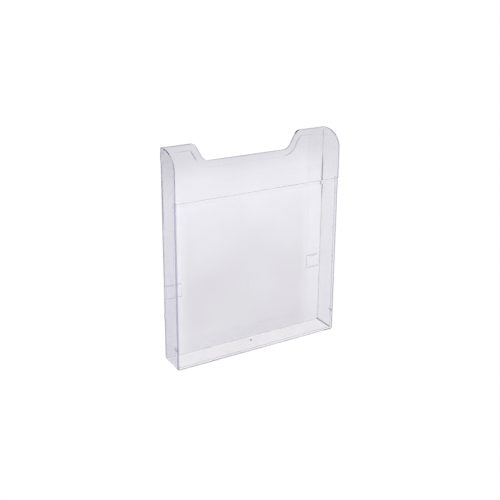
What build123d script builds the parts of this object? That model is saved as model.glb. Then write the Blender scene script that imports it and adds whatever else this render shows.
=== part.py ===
from build123d import *
import os

# A clear moulded magazine file holder: a tall, shallow pocket that stands on its floor or leans its
# flat back against a wall. X is the width, +Z is up, the front faces -Y, and the origin is the
# centre of the footprint on the surface that the holder stands on.
# Three thin mouldings are bonded into the pocket: a U-shaped side frame (floor and side walls with
# their ears), a dished front cover that laps into the frame's front edge, and a back panel that is
# pushed in from behind until its tabs sit in the frame's notches. Two flush clips snap into the
# windows low in the back panel.

# ---- driving dimensions (mm) ----
WIDTH = 240.0
DEPTH = 37.0
HEIGHT = 284.0
FRONT_HEIGHT = 222.0
WALL = 1.8
FLOOR = 2.0
GLUE_GAP = 0.08         # bond line between the mouldings
FIT_PLAY = 0.02         # clearance of the keys, tabs and snap ridges, which do the locating

# finger recess in the top of the back panel: half widths at the top and at the bottom
RECESS_HALF_TOP = 75.5
RECESS_HALF_BOTTOM = 61.5
RECESS_DEPTH = 24.0
SHOULDER_RADIUS = 7.5   # where the recess starts, at the top
FOOT_RADIUS = 12.0      # between its sloped sides and its bottom
RIM_BAND = 8.5          # width of the thicker band that follows the top of the back panel
RIM_RISE = 1.4          # how far the band stands out of the panel, towards the pocket
RIM_INSET = 2.5         # the band stops this far short of the panel's side edges

# rounded lobe at the top front of each side wall: a quarter ellipse
LOBE_DEPTH = 29.0
LOBE_HEIGHT = 22.0

# lap joint between side frame and front cover
COVER_DEPTH = 5.0       # front face to the seam
LAP = 2.0               # how far the cover's inner lip reaches past the seam
COVER_EDGE = 2.5        # outer radius round the front of the dish
KEY_HEIGHT = 5.0        # locating key across the seam
KEY_REACH = 1.6
KEY_CENTRE = 28.5

# soft lip: the front wall thins out over its last few millimetres
LIP_THICKNESS = 0.6
LIP_TAPER = 6.0

# ledge round the inside of the frame, which the back panel is pushed in against
LEDGE_HEIGHT = 0.9
LEDGE_DEPTH = 1.0
LEDGE_EDGE = 0.5
LEDGE_END = 4.0         # the ledge stops this far below the top of the ears

# tabs of the back panel in the frame's notches
SIDE_TAB_HEIGHT = 8.0
SIDE_TAB_CENTRES = (62.0, 272.0)
FLOOR_TAB_WIDTH = 14.0
FLOOR_TAB_CENTRE = 60.0

# windows and flush clips in the back panel
CLIP_CENTRE_X = 106.0
CLIP_CENTRE_Z = 94.0
WINDOW_WIDTH = 20.0
WINDOW_HEIGHT = 18.0
WINDOW_RADIUS = 1.0
CLIP_PLAY = 0.1
SNAP_RADIUS = 0.4       # ridge along the clip's top and bottom edges, in a matching groove
SNAP_LENGTH = 12.0
GRIP_WIDTH = 9.0        # fingernail notch in the clip's top edge
GRIP_HEIGHT = 1.6
GRIP_DEPTH = 0.8

# moulding marks: the gate's vestige on the floor, ejector pin marks and a flow mark on the panel
GATE_RADIUS = 1.4
GATE_HEIGHT = 1.6
GATE_PLACE = (1.0, 6.3)
PIN_RADIUS = 2.6
PIN_PLACES = ((-78.0, 76.0), (78.0, 76.0), (7.0, 127.0))
MARK_DEPTH = 0.25
FLOW_PLACE = (1.8, 82.0)
FLOW_SIZE = (0.7, 18.0)

# edge rounding
BASE_CORNER = 4.0       # outer radius between the floor and the side walls
REAR_EDGE = 0.8
TOP_EDGE = 0.5
LIP_EDGE = 0.45         # outer edge of the lip

# ---- places that follow from them ----
BACK = DEPTH / 2
FRONT = -DEPTH / 2
BACK_INNER = BACK - WALL
SEAT = BACK_INNER - GLUE_GAP
SEAM = FRONT + COVER_DEPTH
LAP_END = SEAM + LAP
HALF_WALL = WALL / 2
HALF_FLOOR = FLOOR / 2
INSIDE = WIDTH / 2 - WALL
INNER_CORNER = BASE_CORNER - WALL
LOBE_FOOT = HEIGHT - LOBE_HEIGHT
RECESS_FLOOR = HEIGHT - RECESS_DEPTH
TINY = 0.01

os.makedirs("parts", exist_ok=True)


def facing_front(y):
    """The XZ plane at depth y, with its normal towards the front."""
    return Plane.XZ.offset(-y)


def panel_face(half_width, bottom):
    """The outline of the back panel: rounded lower corners, and the finger recess in its top."""
    with BuildSketch() as outline:
        with BuildLine():
            Polyline(
                (-half_width, bottom),
                (half_width, bottom),
                (half_width, HEIGHT),
                (RECESS_HALF_TOP, HEIGHT),
                (RECESS_HALF_BOTTOM, RECESS_FLOOR),
                (-RECESS_HALF_BOTTOM, RECESS_FLOOR),
                (-RECESS_HALF_TOP, HEIGHT),
                (-half_width, HEIGHT),
                close=True,
            )
        make_face()
        recess_foot = vertices().filter_by(lambda v: abs(v.Y - RECESS_FLOOR) < TINY)
        fillet(recess_foot, radius=FOOT_RADIUS)
        top_corners = vertices().group_by(Axis.Y)[-1]
        fillet(top_corners.filter_by(lambda v: abs(v.X) < half_width - TINY), radius=SHOULDER_RADIUS)
        fillet(vertices().group_by(Axis.Y)[0], radius=INNER_CORNER)
    return outline.sketch


def ear_face():
    """The ear seen from the side: square at the back, a rounded lobe at the top front."""
    with BuildSketch() as outline:
        with BuildLine():
            Line((BACK, FRONT_HEIGHT), (BACK, HEIGHT))
            Line((BACK, HEIGHT), (FRONT + LOBE_DEPTH, HEIGHT))
            EllipticalCenterArc((FRONT + LOBE_DEPTH, LOBE_FOOT), LOBE_DEPTH, LOBE_HEIGHT,
                                start_angle=90, arc_size=90)
            Line((FRONT, LOBE_FOOT), (FRONT, FRONT_HEIGHT))
            Line((FRONT, FRONT_HEIGHT), (BACK, FRONT_HEIGHT))
        make_face()
    return outline.sketch


def pocket_face(side_inset, base_inset, radius, top):
    """The outline of the pocket seen from the front, inset from its outside, up to a given height."""
    with BuildSketch() as outline:
        with Locations((0, base_inset)):
            Rectangle(WIDTH - 2 * side_inset, top - base_inset, align=(Align.CENTER, Align.MIN))
        fillet(vertices().group_by(Axis.Y)[0], radius=radius)
    return outline.sketch


def key_face(play):
    """The locating key on the seam, seen from the side, or its notch with some play all round."""
    with BuildSketch() as outline:
        with Locations((SEAM - GLUE_GAP, KEY_CENTRE)):
            Rectangle(KEY_REACH + play, KEY_HEIGHT + 2 * play, align=(Align.MIN, Align.CENTER))
    return outline.sketch


# ---- side frame: floor and side walls in one U ----
with BuildPart() as side_frame:
    # the U is two half thicknesses, the inner one shorter at the front, which leaves the rebate
    # that takes the cover's lip
    for layer, front_edge in ((0, SEAM), (1, LAP_END)):
        with BuildSketch(facing_front(BACK)):
            add(pocket_face(layer * HALF_WALL, layer * HALF_FLOOR, BASE_CORNER - layer * HALF_WALL,
                            FRONT_HEIGHT))
            add(pocket_face((layer + 1) * HALF_WALL, (layer + 1) * HALF_FLOOR,
                            BASE_CORNER - (layer + 1) * HALF_WALL, FRONT_HEIGHT), mode=Mode.SUBTRACT)
        extrude(amount=BACK - front_edge)
    for side in (-1, 1):
        with BuildSketch(Plane.YZ.offset(side * WIDTH / 2)):
            add(ear_face())
        extrude(amount=-side * WALL)

    # rear outside edge
    rear_edges = faces().sort_by(Axis.Y)[-1].edges().filter_by(
        lambda e: abs(e.center().X) > WIDTH / 2 - TINY or e.center().Z < TINY)
    fillet(rear_edges, radius=REAR_EDGE)

    # softened edges round the ears
    wall_faces = faces().filter_by(Axis.X).filter_by(lambda f: f.bounding_box().max.Z > LOBE_FOOT)
    ear_edges = wall_faces.edges().filter_by(
        lambda e: e.center().Z > FRONT_HEIGHT + TINY and e.center().Y < BACK - REAR_EDGE - TINY)
    fillet(ear_edges, radius=TOP_EDGE)

    # ledge that the back panel is pushed in against
    with BuildSketch(facing_front(SEAT)):
        add(pocket_face(HALF_WALL, HALF_FLOOR, BASE_CORNER - HALF_WALL, HEIGHT - LEDGE_END))
        add(pocket_face(WALL + LEDGE_HEIGHT, FLOOR + LEDGE_HEIGHT, INNER_CORNER, HEIGHT),
            mode=Mode.SUBTRACT)
    extrude(amount=LEDGE_DEPTH)
    ledge_face = faces().filter_by(Axis.Y).filter_by(
        lambda f: abs(f.center().Y - (SEAT - LEDGE_DEPTH)) < TINY)
    fillet(ledge_face.edges().filter_by(
        lambda e: e.length > WIDTH / 2 and abs(e.center().X) < INSIDE - HALF_WALL / 2
        and e.center().Z > FLOOR + TINY), radius=LEDGE_EDGE)

    # vestige of the gate, inside on the floor
    with BuildSketch(Plane.XY.offset(FLOOR)):
        with Locations(GATE_PLACE):
            Circle(GATE_RADIUS)
    extrude(amount=GATE_HEIGHT)

    # notches for the locating keys, and for the back panel's tabs
    for side in (-1, 1):
        with BuildSketch(Plane.YZ.offset(side * WIDTH / 2)):
            add(key_face(FIT_PLAY))
        extrude(amount=-side * (HALF_WALL + FIT_PLAY), mode=Mode.SUBTRACT)
        with BuildSketch(facing_front(BACK)):
            with Locations(*[(side * WIDTH / 2, z) for z in SIDE_TAB_CENTRES]):
                Rectangle(2 * WALL, SIDE_TAB_HEIGHT + 2 * FIT_PLAY)
            with Locations((side * FLOOR_TAB_CENTRE, 0)):
                Rectangle(FLOOR_TAB_WIDTH + 2 * FIT_PLAY, 2 * FLOOR)
        extrude(amount=WALL + FIT_PLAY, mode=Mode.SUBTRACT)

# ---- front cover: a shallow dish that closes the frame ----
with BuildPart() as front_cover:
    cover_height = FRONT_HEIGHT - GLUE_GAP
    with BuildSketch(facing_front(SEAM - GLUE_GAP)):
        add(pocket_face(0, 0, BASE_CORNER, cover_height))
    extrude(amount=COVER_DEPTH - GLUE_GAP)
    front_edges = faces().sort_by(Axis.Y)[0].edges().filter_by(lambda e: e.center().Z < cover_height - TINY)
    fillet(front_edges, radius=COVER_EDGE)

    # hollow of the dish
    with BuildSketch(facing_front(SEAM)):
        add(pocket_face(WALL, FLOOR, INNER_CORNER, HEIGHT))
    extrude(amount=COVER_DEPTH - WALL, mode=Mode.SUBTRACT)
    inner_face = faces().filter_by(Axis.Y).filter_by(lambda f: abs(f.center().Y - FRONT - WALL) < TINY)
    fillet(inner_face.edges().filter_by(lambda e: e.center().Z < cover_height - TINY),
           radius=COVER_EDGE - WALL)

    # inner lip, which laps inside the frame
    with BuildSketch(facing_front(SEAM - GLUE_GAP)):
        add(pocket_face(HALF_WALL + GLUE_GAP, HALF_FLOOR + GLUE_GAP, BASE_CORNER - HALF_WALL - GLUE_GAP,
                        cover_height))
        add(pocket_face(WALL, FLOOR, INNER_CORNER, HEIGHT), mode=Mode.SUBTRACT)
    extrude(amount=-LAP)

    # locating keys across the seam
    for side in (-1, 1):
        with BuildSketch(Plane.YZ.offset(side * WIDTH / 2)):
            add(key_face(0))
        extrude(amount=-side * HALF_WALL)

    # soft lip along the top of the front wall
    with BuildSketch(Plane.YZ):
        with BuildLine():
            Polyline(
                (FRONT + LIP_THICKNESS, cover_height),
                (FRONT + WALL, cover_height),
                (FRONT + WALL, cover_height - LIP_TAPER),
                close=True,
            )
        make_face()
    extrude(amount=INSIDE, both=True, mode=Mode.SUBTRACT)
    top_face = faces().filter_by(Axis.Z).sort_by(Axis.Z)[-1]
    fillet(top_face.edges().filter_by(lambda e: e.length > WIDTH / 2).sort_by(Axis.Y)[0], radius=LIP_EDGE)

# ---- back panel: a flat plate with tabs, a rim band and two windows ----
with BuildPart() as back_panel:
    with BuildSketch(facing_front(BACK)):
        add(panel_face(INSIDE - GLUE_GAP, FLOOR + GLUE_GAP))
    extrude(amount=WALL)
    top_edges = faces().sort_by(Axis.Y)[-1].edges().filter_by(
        lambda e: e.center().Z > RECESS_FLOOR - TINY and abs(e.center().X) < INSIDE - GLUE_GAP - TINY)
    fillet(top_edges, radius=TOP_EDGE)

    # thicker band along the top
    with BuildSketch(mode=Mode.PRIVATE) as below_band:
        add(panel_face(WIDTH, -WIDTH))
        offset(amount=-RIM_BAND, mode=Mode.REPLACE)
    with BuildSketch(facing_front(BACK_INNER)):
        add(panel_face(INSIDE - RIM_INSET, FLOOR + GLUE_GAP))
        add(below_band.sketch, mode=Mode.SUBTRACT)
    extrude(amount=RIM_RISE)

    # marks left by the mould
    with BuildSketch(facing_front(BACK_INNER)):
        with Locations(*PIN_PLACES):
            Circle(PIN_RADIUS)
        with Locations(FLOW_PLACE):
            Rectangle(*FLOW_SIZE)
    extrude(amount=-MARK_DEPTH, mode=Mode.SUBTRACT)

    # tabs that sit in the frame's notches, flush with its outside
    with BuildSketch(facing_front(BACK)):
        for side in (-1, 1):
            with Locations(*[(side * WIDTH / 2, z) for z in SIDE_TAB_CENTRES]):
                Rectangle(WALL + GLUE_GAP, SIDE_TAB_HEIGHT,
                          align=(Align.MAX if side > 0 else Align.MIN, Align.CENTER))
            with Locations((side * FLOOR_TAB_CENTRE, 0)):
                Rectangle(FLOOR_TAB_WIDTH, FLOOR + GLUE_GAP, align=(Align.CENTER, Align.MIN))
    extrude(amount=WALL)

    # windows, with a groove along the top and bottom edges for the clip's ridges
    for side in (-1, 1):
        with BuildSketch(facing_front(BACK)):
            with Locations((side * CLIP_CENTRE_X, CLIP_CENTRE_Z)):
                RectangleRounded(WINDOW_WIDTH, WINDOW_HEIGHT, WINDOW_RADIUS)
        extrude(amount=WALL, mode=Mode.SUBTRACT)
        with BuildSketch(Plane.YZ.offset(side * CLIP_CENTRE_X)):
            with Locations((BACK - HALF_WALL, CLIP_CENTRE_Z - WINDOW_HEIGHT / 2),
                           (BACK - HALF_WALL, CLIP_CENTRE_Z + WINDOW_HEIGHT / 2)):
                Circle(SNAP_RADIUS)
        extrude(amount=SNAP_LENGTH / 2, both=True, mode=Mode.SUBTRACT)


# ---- flush clips in the windows ----
def window_clip(side):
    """The plug that snaps into the window on one side, flush with both faces of the panel."""
    centre_x = side * CLIP_CENTRE_X
    clip_height = WINDOW_HEIGHT - 2 * CLIP_PLAY
    with BuildPart() as clip:
        with BuildSketch(facing_front(BACK)):
            with Locations((centre_x, CLIP_CENTRE_Z)):
                RectangleRounded(WINDOW_WIDTH - 2 * CLIP_PLAY, clip_height, WINDOW_RADIUS)
        extrude(amount=WALL)
        with BuildSketch(Plane.YZ.offset(centre_x)):
            with Locations((BACK - HALF_WALL, CLIP_CENTRE_Z - WINDOW_HEIGHT / 2),
                           (BACK - HALF_WALL, CLIP_CENTRE_Z + WINDOW_HEIGHT / 2)):
                Circle(SNAP_RADIUS - FIT_PLAY)
        extrude(amount=SNAP_LENGTH / 2 - CLIP_PLAY, both=True)
        with BuildSketch(facing_front(BACK_INNER)):
            with Locations((centre_x, CLIP_CENTRE_Z + clip_height / 2)):
                Rectangle(GRIP_WIDTH, 2 * GRIP_HEIGHT)
        extrude(amount=-GRIP_DEPTH, mode=Mode.SUBTRACT)
    return clip


NODES = {
    "side_frame": side_frame,
    "front_cover": front_cover,
    "back_panel": back_panel,
    "window_clip_left": window_clip(-1),
    "window_clip_right": window_clip(1),
}
for node_name, node in NODES.items():
    node.part.label = node_name
    export_step(node.part, f"parts/{node_name}.step")
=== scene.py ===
import bpy
import math
from mathutils import Vector, Matrix


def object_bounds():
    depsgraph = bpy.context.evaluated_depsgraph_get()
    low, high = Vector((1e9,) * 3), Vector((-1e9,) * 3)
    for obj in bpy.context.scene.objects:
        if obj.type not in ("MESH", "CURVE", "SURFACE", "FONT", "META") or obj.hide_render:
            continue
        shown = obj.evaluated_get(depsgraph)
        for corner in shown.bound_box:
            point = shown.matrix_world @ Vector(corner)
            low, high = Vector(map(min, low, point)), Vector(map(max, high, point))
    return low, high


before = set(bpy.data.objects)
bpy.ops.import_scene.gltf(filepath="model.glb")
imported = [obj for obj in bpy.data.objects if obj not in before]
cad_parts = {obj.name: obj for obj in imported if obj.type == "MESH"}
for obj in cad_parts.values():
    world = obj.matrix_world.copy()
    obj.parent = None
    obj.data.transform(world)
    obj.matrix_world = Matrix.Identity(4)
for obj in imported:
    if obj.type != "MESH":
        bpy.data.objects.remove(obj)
cad_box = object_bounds()
HEIGHT = cad_box[1][2]
HALF_WIDTH = cad_box[1][0]

# ---- camera (metres, the part's frame) ----
CAMERA_AT = Vector((-0.5097, -0.8543, 0.5255))
CAMERA_AIM = Vector((-0.0053, 0.0, 0.2183))
CAMERA_ROLL = math.radians(0.4)
CAMERA_LENS = 58.86             # millimetres, as is the sensor's width
CAMERA_SENSOR = 36.0
CAMERA_SHIFT = (0.0, -0.12)
CAMERA_NEAR = 0.01

# ---- plastic ----
IOR = 1.58                      # clear polystyrene
POLISH = 0.02                   # roughness of the mould's polished face
SCUFF = 0.10                    # roughness where the surface is rubbed
BODY_COLOUR = (0.35, 0.35, 0.55)    # what a long path through the plastic turns to
BODY_DENSITY = 6.0              # how fast, per metre
FRONT_DENSITY = 0.8             # and in the front wall, which is paler
CAST = (1.0, 0.99, 1.055)       # lavender cast of the tint
# each moulding's tint by height, as (share of the height, transmission): partly the plastic's own tint,
# partly painted shade and light that vary with the height
FRONT_TINT = ((0.0, 1.0), (1.0, 1.0))
# the front's sides: painted shade that darkens its corners
FRONT_SIDE_SHADE = ((0.0, 0.8), (1.0, 0.8))
FRAME_TINT = ((0.0, 0.97), (0.011, 0.97), (0.013, 0.75), (0.5, 0.775), (0.75, 0.79), (0.92, 0.73))
BACK_TINT = ((0.0, 0.70), (0.32, 0.71), (0.5, 0.765), (0.72, 0.85), (0.83, 0.815), (0.93, 0.70))
BACK_SIDES = ((0.0, 0.77), (0.2, 0.79), (0.35, 0.83), (0.5, 0.85), (0.72, 0.88), (0.83, 0.815),
              (0.93, 0.70))
# where the tint of the middle gives way to that of the sides, as distances from the side face; at the
# front the sides' darker tint is painted corner shade
FRONT_FADE = (0.0032, 0.0018)
BACK_FADE = (0.034, 0.020)

# unevenness of the moulding: scales are in noise cells per metre
FLOW_SCALE = 14.0               # slow flow marks in the tint
FLOW_LEVELS = (0.3, 0.7)        # noise levels that give the tint's two factors
FLOW_FACTORS = (0.97, 1.02)
RUB_SCALE = 45.0                # rubbed patches
RUB_LEVELS = (0.50, 0.78)       # noise levels where rubbing starts and is full
WAVE_SCALE = 22.0               # waviness of the faces
WAVE_STRENGTH = 0.35
WAVE_DEPTH = 0.00025

# dark marks, the same left and right, as (centre, reach, tint), and for one a tilt about Y; most are
# painted shade along edges and corners, one is a short mark at the seam and one the gate; a mark runs
# the whole length of the piece along an axis where its reach is ENDLESS
ENDLESS = 9.0                   # metres, far more than the holder measures
MARK_FADE = (0.6, 1.2)          # share of the reach where a mark starts to fade and is gone
RECESS_SLOPE = -math.atan2(14.0, 24.0)      # the recess's sides lean 14 mm over a height of 24 mm
# their tints: painted shade for the edge and corner lines, plain dark for the short mark and the gate
EDGE_SHADE_LINE = (0.36, 0.36, 0.50)
CORNER_SHADE_AND_GATE = (0.10, 0.10, 0.13)
FOOT_SHADE_LINE = (0.70, 0.70, 0.78)
SHORT_MARK_AND_CLIP_SHADE = (0.40, 0.40, 0.45)
REAR_SHADE_LINE = (0.27, 0.27, 0.31)
RIM_SHADE_LINE = (0.42, 0.42, 0.48)
RIM_FAINT_SHADE = (0.56, 0.56, 0.62)
# the marks themselves
KEY = ((0.1190, -0.0125, 0.0285), (0.0030, 0.0065, 0.0011), SHORT_MARK_AND_CLIP_SHADE)
# painted shade: a dark line down each front corner
FRONT_CORNER = ((0.1194, -0.0179, 0.0), (0.0013, 0.0013, ENDLESS), EDGE_SHADE_LINE)
# painted shade: a faint dark line along the front foot
FRONT_FOOT = ((0.0, -0.0179, 0.0006), (ENDLESS, 0.0013, 0.0013), FOOT_SHADE_LINE)
# painted shade: a dark line in the inner corner of floor and side wall
FLOOR_CORNER = ((0.1177, 0.0, 0.0025), (0.0014, ENDLESS, 0.0014), CORNER_SHADE_AND_GATE)
GATE = ((0.0010, 0.0063, 0.0036), (0.0020, 0.0018, 0.0014), CORNER_SHADE_AND_GATE)
# painted shade: a dark line down the upper rear corners
REAR_CORNER = ((0.1178, 0.0160, 0.2150), (0.0012, 0.0013, 0.0350), REAR_SHADE_LINE)
# painted shade: dark lines along the rim's edges, the recess's bottom and the ears' tops
RIM_SIDE = ((0.0764, 0.0160, 0.2686), (0.0008, ENDLESS, 0.0085), RIM_SHADE_LINE, RECESS_SLOPE)
RIM_TOP = ((0.0895, 0.0160, 0.2755), (0.0105, ENDLESS, 0.0007), RIM_FAINT_SHADE)
RECESS_BOTTOM = ((0.0, 0.0175, 0.2601), (0.0600, ENDLESS, 0.0009), RIM_SHADE_LINE)
EAR_TOP = ((0.0980, 0.0175, 0.2839), (0.0220, ENDLESS, 0.0009), RIM_SHADE_LINE)
# painted shade: a dark line along the right clip's edge
CLIP_EDGE = ((0.0962, 0.0176, 0.0940), (0.0008, ENDLESS, 0.0095), SHORT_MARK_AND_CLIP_SHADE)

FRONT_MARKS = (FRONT_CORNER, FRONT_FOOT, KEY)
FRAME_MARKS = (FLOOR_CORNER, GATE, REAR_CORNER, KEY)
BACK_MARKS = (RIM_SIDE, RIM_TOP, RECESS_BOTTOM, EAR_TOP)
CLIP_MARKS = (CLIP_EDGE,)       # on the right clip only

# ---- stage ----
FLOOR_HALF = 6.0                # half the floor's side
FLOOR_DROP = 0.0002             # keeps the floor's face apart from the holder's underside
FLOOR_GREY = 0.08               # the floor glows, and reflects little
SKY_PALE = math.radians(10)     # the sky is white up to here
SKY_DIM = math.radians(35)      # and dim from here up
SKY_TOP = 0.02
LIGHT_BOUNCES = 200             # light runs the height of a wall, from face to face, before it leaves


def make_camera():
    """A camera at CAMERA_AT that looks at CAMERA_AIM, turned a little about its line of sight."""
    data = bpy.data.cameras.new("camera")
    camera = bpy.data.objects.new("camera", data)
    bpy.context.scene.collection.objects.link(camera)
    turn = (CAMERA_AIM - CAMERA_AT).to_track_quat("-Z", "Y").to_matrix().to_4x4()
    camera.matrix_world = Matrix.Translation(CAMERA_AT) @ turn @ Matrix.Rotation(CAMERA_ROLL, 4, "Z")
    data.lens = CAMERA_LENS
    data.sensor_width = CAMERA_SENSOR
    data.shift_x, data.shift_y = CAMERA_SHIFT
    data.clip_start = CAMERA_NEAR
    bpy.context.scene.camera = camera


def add_node(tree, kind, inputs=None, **settings):
    """A shader node with its settings and its unlinked input values."""
    node = tree.nodes.new(kind)
    for key, value in settings.items():
        setattr(node, key, value)
    for key, value in (inputs or {}).items():
        node.inputs[key].default_value = value
    return node


def add_mark(tree, place, colour, centre, reach, tint, tilt=0.0):
    """Turns a colour softly into a tint within an ellipsoid, and returns the new colour's socket."""
    away = add_node(tree, "ShaderNodeVectorMath", {1: centre}, operation="SUBTRACT")
    tree.links.new(place, away.inputs[0])
    turned = add_node(tree, "ShaderNodeVectorRotate", {"Angle": tilt}, rotation_type="Y_AXIS")
    tree.links.new(away.outputs["Vector"], turned.inputs["Vector"])
    scaled = add_node(tree, "ShaderNodeVectorMath", {1: reach}, operation="DIVIDE")
    tree.links.new(turned.outputs["Vector"], scaled.inputs[0])
    distance = add_node(tree, "ShaderNodeVectorMath", operation="LENGTH")
    tree.links.new(scaled.outputs["Vector"], distance.inputs[0])
    fade = add_node(tree, "ShaderNodeMapRange", {"From Min": MARK_FADE[0], "From Max": MARK_FADE[1]},
                    interpolation_type="SMOOTHSTEP")
    tree.links.new(distance.outputs["Value"], fade.inputs["Value"])
    marked = add_node(tree, "ShaderNodeMixRGB", {"Color1": (*tint, 1)})
    tree.links.new(fade.outputs["Result"], marked.inputs["Fac"])
    tree.links.new(colour, marked.inputs["Color2"])
    return marked.outputs["Color"]


def add_tint(tree, level, tint):
    """Adds a ramp that turns the level into the tint's colour, and returns the colour's socket."""
    ramp = add_node(tree, "ShaderNodeValToRGB")
    stops = ramp.color_ramp.elements
    while len(stops) < len(tint):
        stops.new(1.0)
    for stop, (share, transmission) in zip(stops, tint):
        stop.position = share
        stop.color = (*[min(transmission * cast, 1.0) for cast in CAST], 1)
    tree.links.new(level, ramp.inputs["Fac"])
    return ramp.outputs["Color"]


def clear_plastic(name, tint, seed, density=BODY_DENSITY, sides=None, fade=None, marks=()):
    """Clear moulded polystyrene. Its tint, partly its own and partly painted shade and light, follows
    the height and may differ towards the sides; it is dark in the marks, most of them painted shade
    lines. Its face is faintly wavy, and polished apart from rubbed patches. The seed gives each moulding
    unevenness of its own."""
    material = bpy.data.materials.new(name)
    material.use_nodes = True
    tree = material.node_tree
    link = tree.links.new
    shader = tree.nodes["Principled BSDF"]
    shader.inputs["IOR"].default_value = IOR
    shader.inputs["Transmission Weight"].default_value = 1.0
    place = add_node(tree, "ShaderNodeTexCoord")

    # tint: by height, in the middle and at the sides; partly the plastic's own tint, partly painted
    # shade and light
    split = add_node(tree, "ShaderNodeSeparateXYZ")
    link(place.outputs["Object"], split.inputs["Vector"])
    level = add_node(tree, "ShaderNodeMapRange", {"From Min": 0.0, "From Max": HEIGHT})
    link(split.outputs["Z"], level.inputs["Value"])
    outward = add_node(tree, "ShaderNodeMath", operation="ABSOLUTE")
    link(split.outputs["X"], outward.inputs[0])
    colour = add_tint(tree, level.outputs["Result"], tint)
    if sides:
        aside = add_node(tree, "ShaderNodeMapRange", {"From Min": HALF_WIDTH - fade[0],
                                                       "From Max": HALF_WIDTH - fade[1]})
        link(outward.outputs["Value"], aside.inputs["Value"])
        blend = add_node(tree, "ShaderNodeMixRGB")
        link(aside.outputs["Result"], blend.inputs["Fac"])
        link(colour, blend.inputs["Color1"])
        link(add_tint(tree, level.outputs["Result"], sides), blend.inputs["Color2"])
        colour = blend.outputs["Color"]

    # varied by slow flow marks
    flow = add_node(tree, "ShaderNodeTexNoise", {"Scale": FLOW_SCALE, "Detail": 2.0,
                                                  "Roughness": 0.45, "W": seed},
                    noise_dimensions="4D")
    link(place.outputs["Object"], flow.inputs["Vector"])
    drift = add_node(tree, "ShaderNodeMapRange", {"From Min": FLOW_LEVELS[0],
                                                   "From Max": FLOW_LEVELS[1],
                                                   "To Min": FLOW_FACTORS[0],
                                                   "To Max": FLOW_FACTORS[1]})
    link(flow.outputs["Fac"], drift.inputs["Value"])
    clouded = add_node(tree, "ShaderNodeVectorMath", operation="SCALE")
    link(colour, clouded.inputs["Vector"])
    link(drift.outputs["Result"], clouded.inputs["Scale"])
    colour = clouded.outputs["Vector"]

    # dark marks: painted shade lines along edges and corners, and the short mark and the gate
    folded = add_node(tree, "ShaderNodeCombineXYZ")
    link(outward.outputs["Value"], folded.inputs["X"])
    link(split.outputs["Y"], folded.inputs["Y"])
    link(split.outputs["Z"], folded.inputs["Z"])
    for mark in marks:
        colour = add_mark(tree, folded.outputs["Vector"], colour, *mark)
    link(colour, shader.inputs["Base Color"])

    # surface: polished, and rubbed dull in patches
    rub = add_node(tree, "ShaderNodeTexNoise", {"Scale": RUB_SCALE, "Detail": 6.0,
                                                 "Roughness": 0.62, "W": seed + 3.0},
                   noise_dimensions="4D")
    link(place.outputs["Object"], rub.inputs["Vector"])
    polish = add_node(tree, "ShaderNodeMapRange", {"From Min": RUB_LEVELS[0],
                                                    "From Max": RUB_LEVELS[1],
                                                    "To Min": POLISH, "To Max": SCUFF})
    link(rub.outputs["Fac"], polish.inputs["Value"])
    link(polish.outputs["Result"], shader.inputs["Roughness"])

    # waviness, a few hundredths of a millimetre over some centimetres
    wave = add_node(tree, "ShaderNodeTexNoise", {"Scale": WAVE_SCALE, "Detail": 1.0,
                                                  "Roughness": 0.4, "W": seed + 7.0},
                    noise_dimensions="4D")
    link(place.outputs["Object"], wave.inputs["Vector"])
    bump = add_node(tree, "ShaderNodeBump", {"Strength": WAVE_STRENGTH, "Distance": WAVE_DEPTH})
    link(wave.outputs["Fac"], bump.inputs["Height"])
    link(bump.outputs["Normal"], shader.inputs["Normal"])

    # body colour, which only long paths through the plastic show, as at its edges
    body = add_node(tree, "ShaderNodeVolumeAbsorption", {"Color": (*BODY_COLOUR, 1), "Density": density})
    link(body.outputs["Volume"], tree.nodes["Material Output"].inputs["Volume"])
    return material


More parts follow.
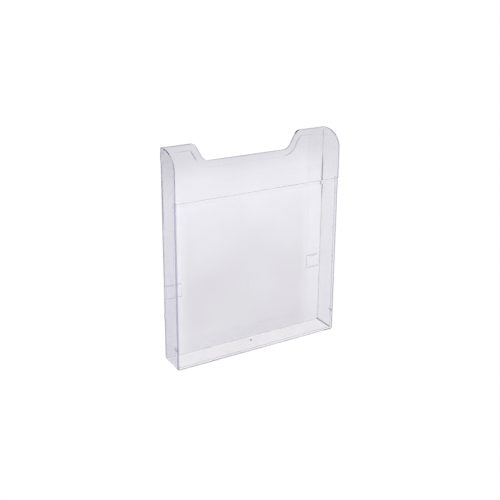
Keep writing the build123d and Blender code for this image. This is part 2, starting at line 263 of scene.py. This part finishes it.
def make_floor():
    """A wide white floor that glows, so that it shows no shadow."""
    data = bpy.data.meshes.new("floor")
    corners = [(-FLOOR_HALF, -FLOOR_HALF, 0), (FLOOR_HALF, -FLOOR_HALF, 0),
               (FLOOR_HALF, FLOOR_HALF, 0), (-FLOOR_HALF, FLOOR_HALF, 0)]
    data.from_pydata(corners, [], [(0, 1, 2, 3)])
    floor = bpy.data.objects.new("floor", data)
    floor.location.z = -FLOOR_DROP
    bpy.context.scene.collection.objects.link(floor)
    material = bpy.data.materials.new("floor")
    material.use_nodes = True
    shader = material.node_tree.nodes["Principled BSDF"]
    shader.inputs["Base Color"].default_value = (FLOOR_GREY, FLOOR_GREY, FLOOR_GREY, 1)
    shader.inputs["Roughness"].default_value = 0.9
    shader.inputs["Specular IOR Level"].default_value = 0.0
    shader.inputs["Emission Color"].default_value = (1, 1, 1, 1)
    shader.inputs["Emission Strength"].default_value = 1.0
    data.materials.append(material)


def make_light():
    """A sky that is white near the horizon and dim overhead, so that edges read dark."""
    world = bpy.data.worlds.new("studio")
    world.use_nodes = True
    tree = world.node_tree
    background = tree.nodes["Background"]
    background.inputs["Color"].default_value = (1, 1, 1, 1)
    place = add_node(tree, "ShaderNodeTexCoord")
    split = add_node(tree, "ShaderNodeSeparateXYZ")
    tree.links.new(place.outputs["Generated"], split.inputs["Vector"])
    rise = add_node(tree, "ShaderNodeMapRange", {"From Min": math.sin(SKY_PALE),
                                                  "From Max": math.sin(SKY_DIM),
                                                  "To Min": 1.0, "To Max": SKY_TOP},
                    interpolation_type="SMOOTHSTEP")
    tree.links.new(split.outputs["Z"], rise.inputs["Value"])
    tree.links.new(rise.outputs["Result"], background.inputs["Strength"])
    bpy.context.scene.world = world


def dress(node_name, material):
    """Gives a node one material in place of its own."""
    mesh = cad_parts[node_name].data
    mesh.materials.clear()
    mesh.materials.append(material)


make_camera()
make_floor()
make_light()

dress("front_cover", clear_plastic("clear_front", FRONT_TINT, seed=1.0, density=FRONT_DENSITY,
                                   sides=FRONT_SIDE_SHADE, fade=FRONT_FADE, marks=FRONT_MARKS))
dress("side_frame", clear_plastic("clear_frame", FRAME_TINT, seed=2.0, marks=FRAME_MARKS))
dress("back_panel", clear_plastic("clear_back", BACK_TINT, seed=3.0, sides=BACK_SIDES,
                                  fade=BACK_FADE, marks=BACK_MARKS))
for end, marks in (("left", ()), ("right", CLIP_MARKS)):
    dress(f"window_clip_{end}", clear_plastic(f"clear_clip_{end}", BACK_TINT, seed=3.0,
                                              sides=BACK_SIDES, fade=BACK_FADE, marks=marks))

scene = bpy.context.scene
scene.view_settings.view_transform = "Standard"
for limit in ("max_bounces", "transmission_bounces", "glossy_bounces", "transparent_max_bounces"):
    setattr(scene.cycles, limit, LIGHT_BOUNCES)
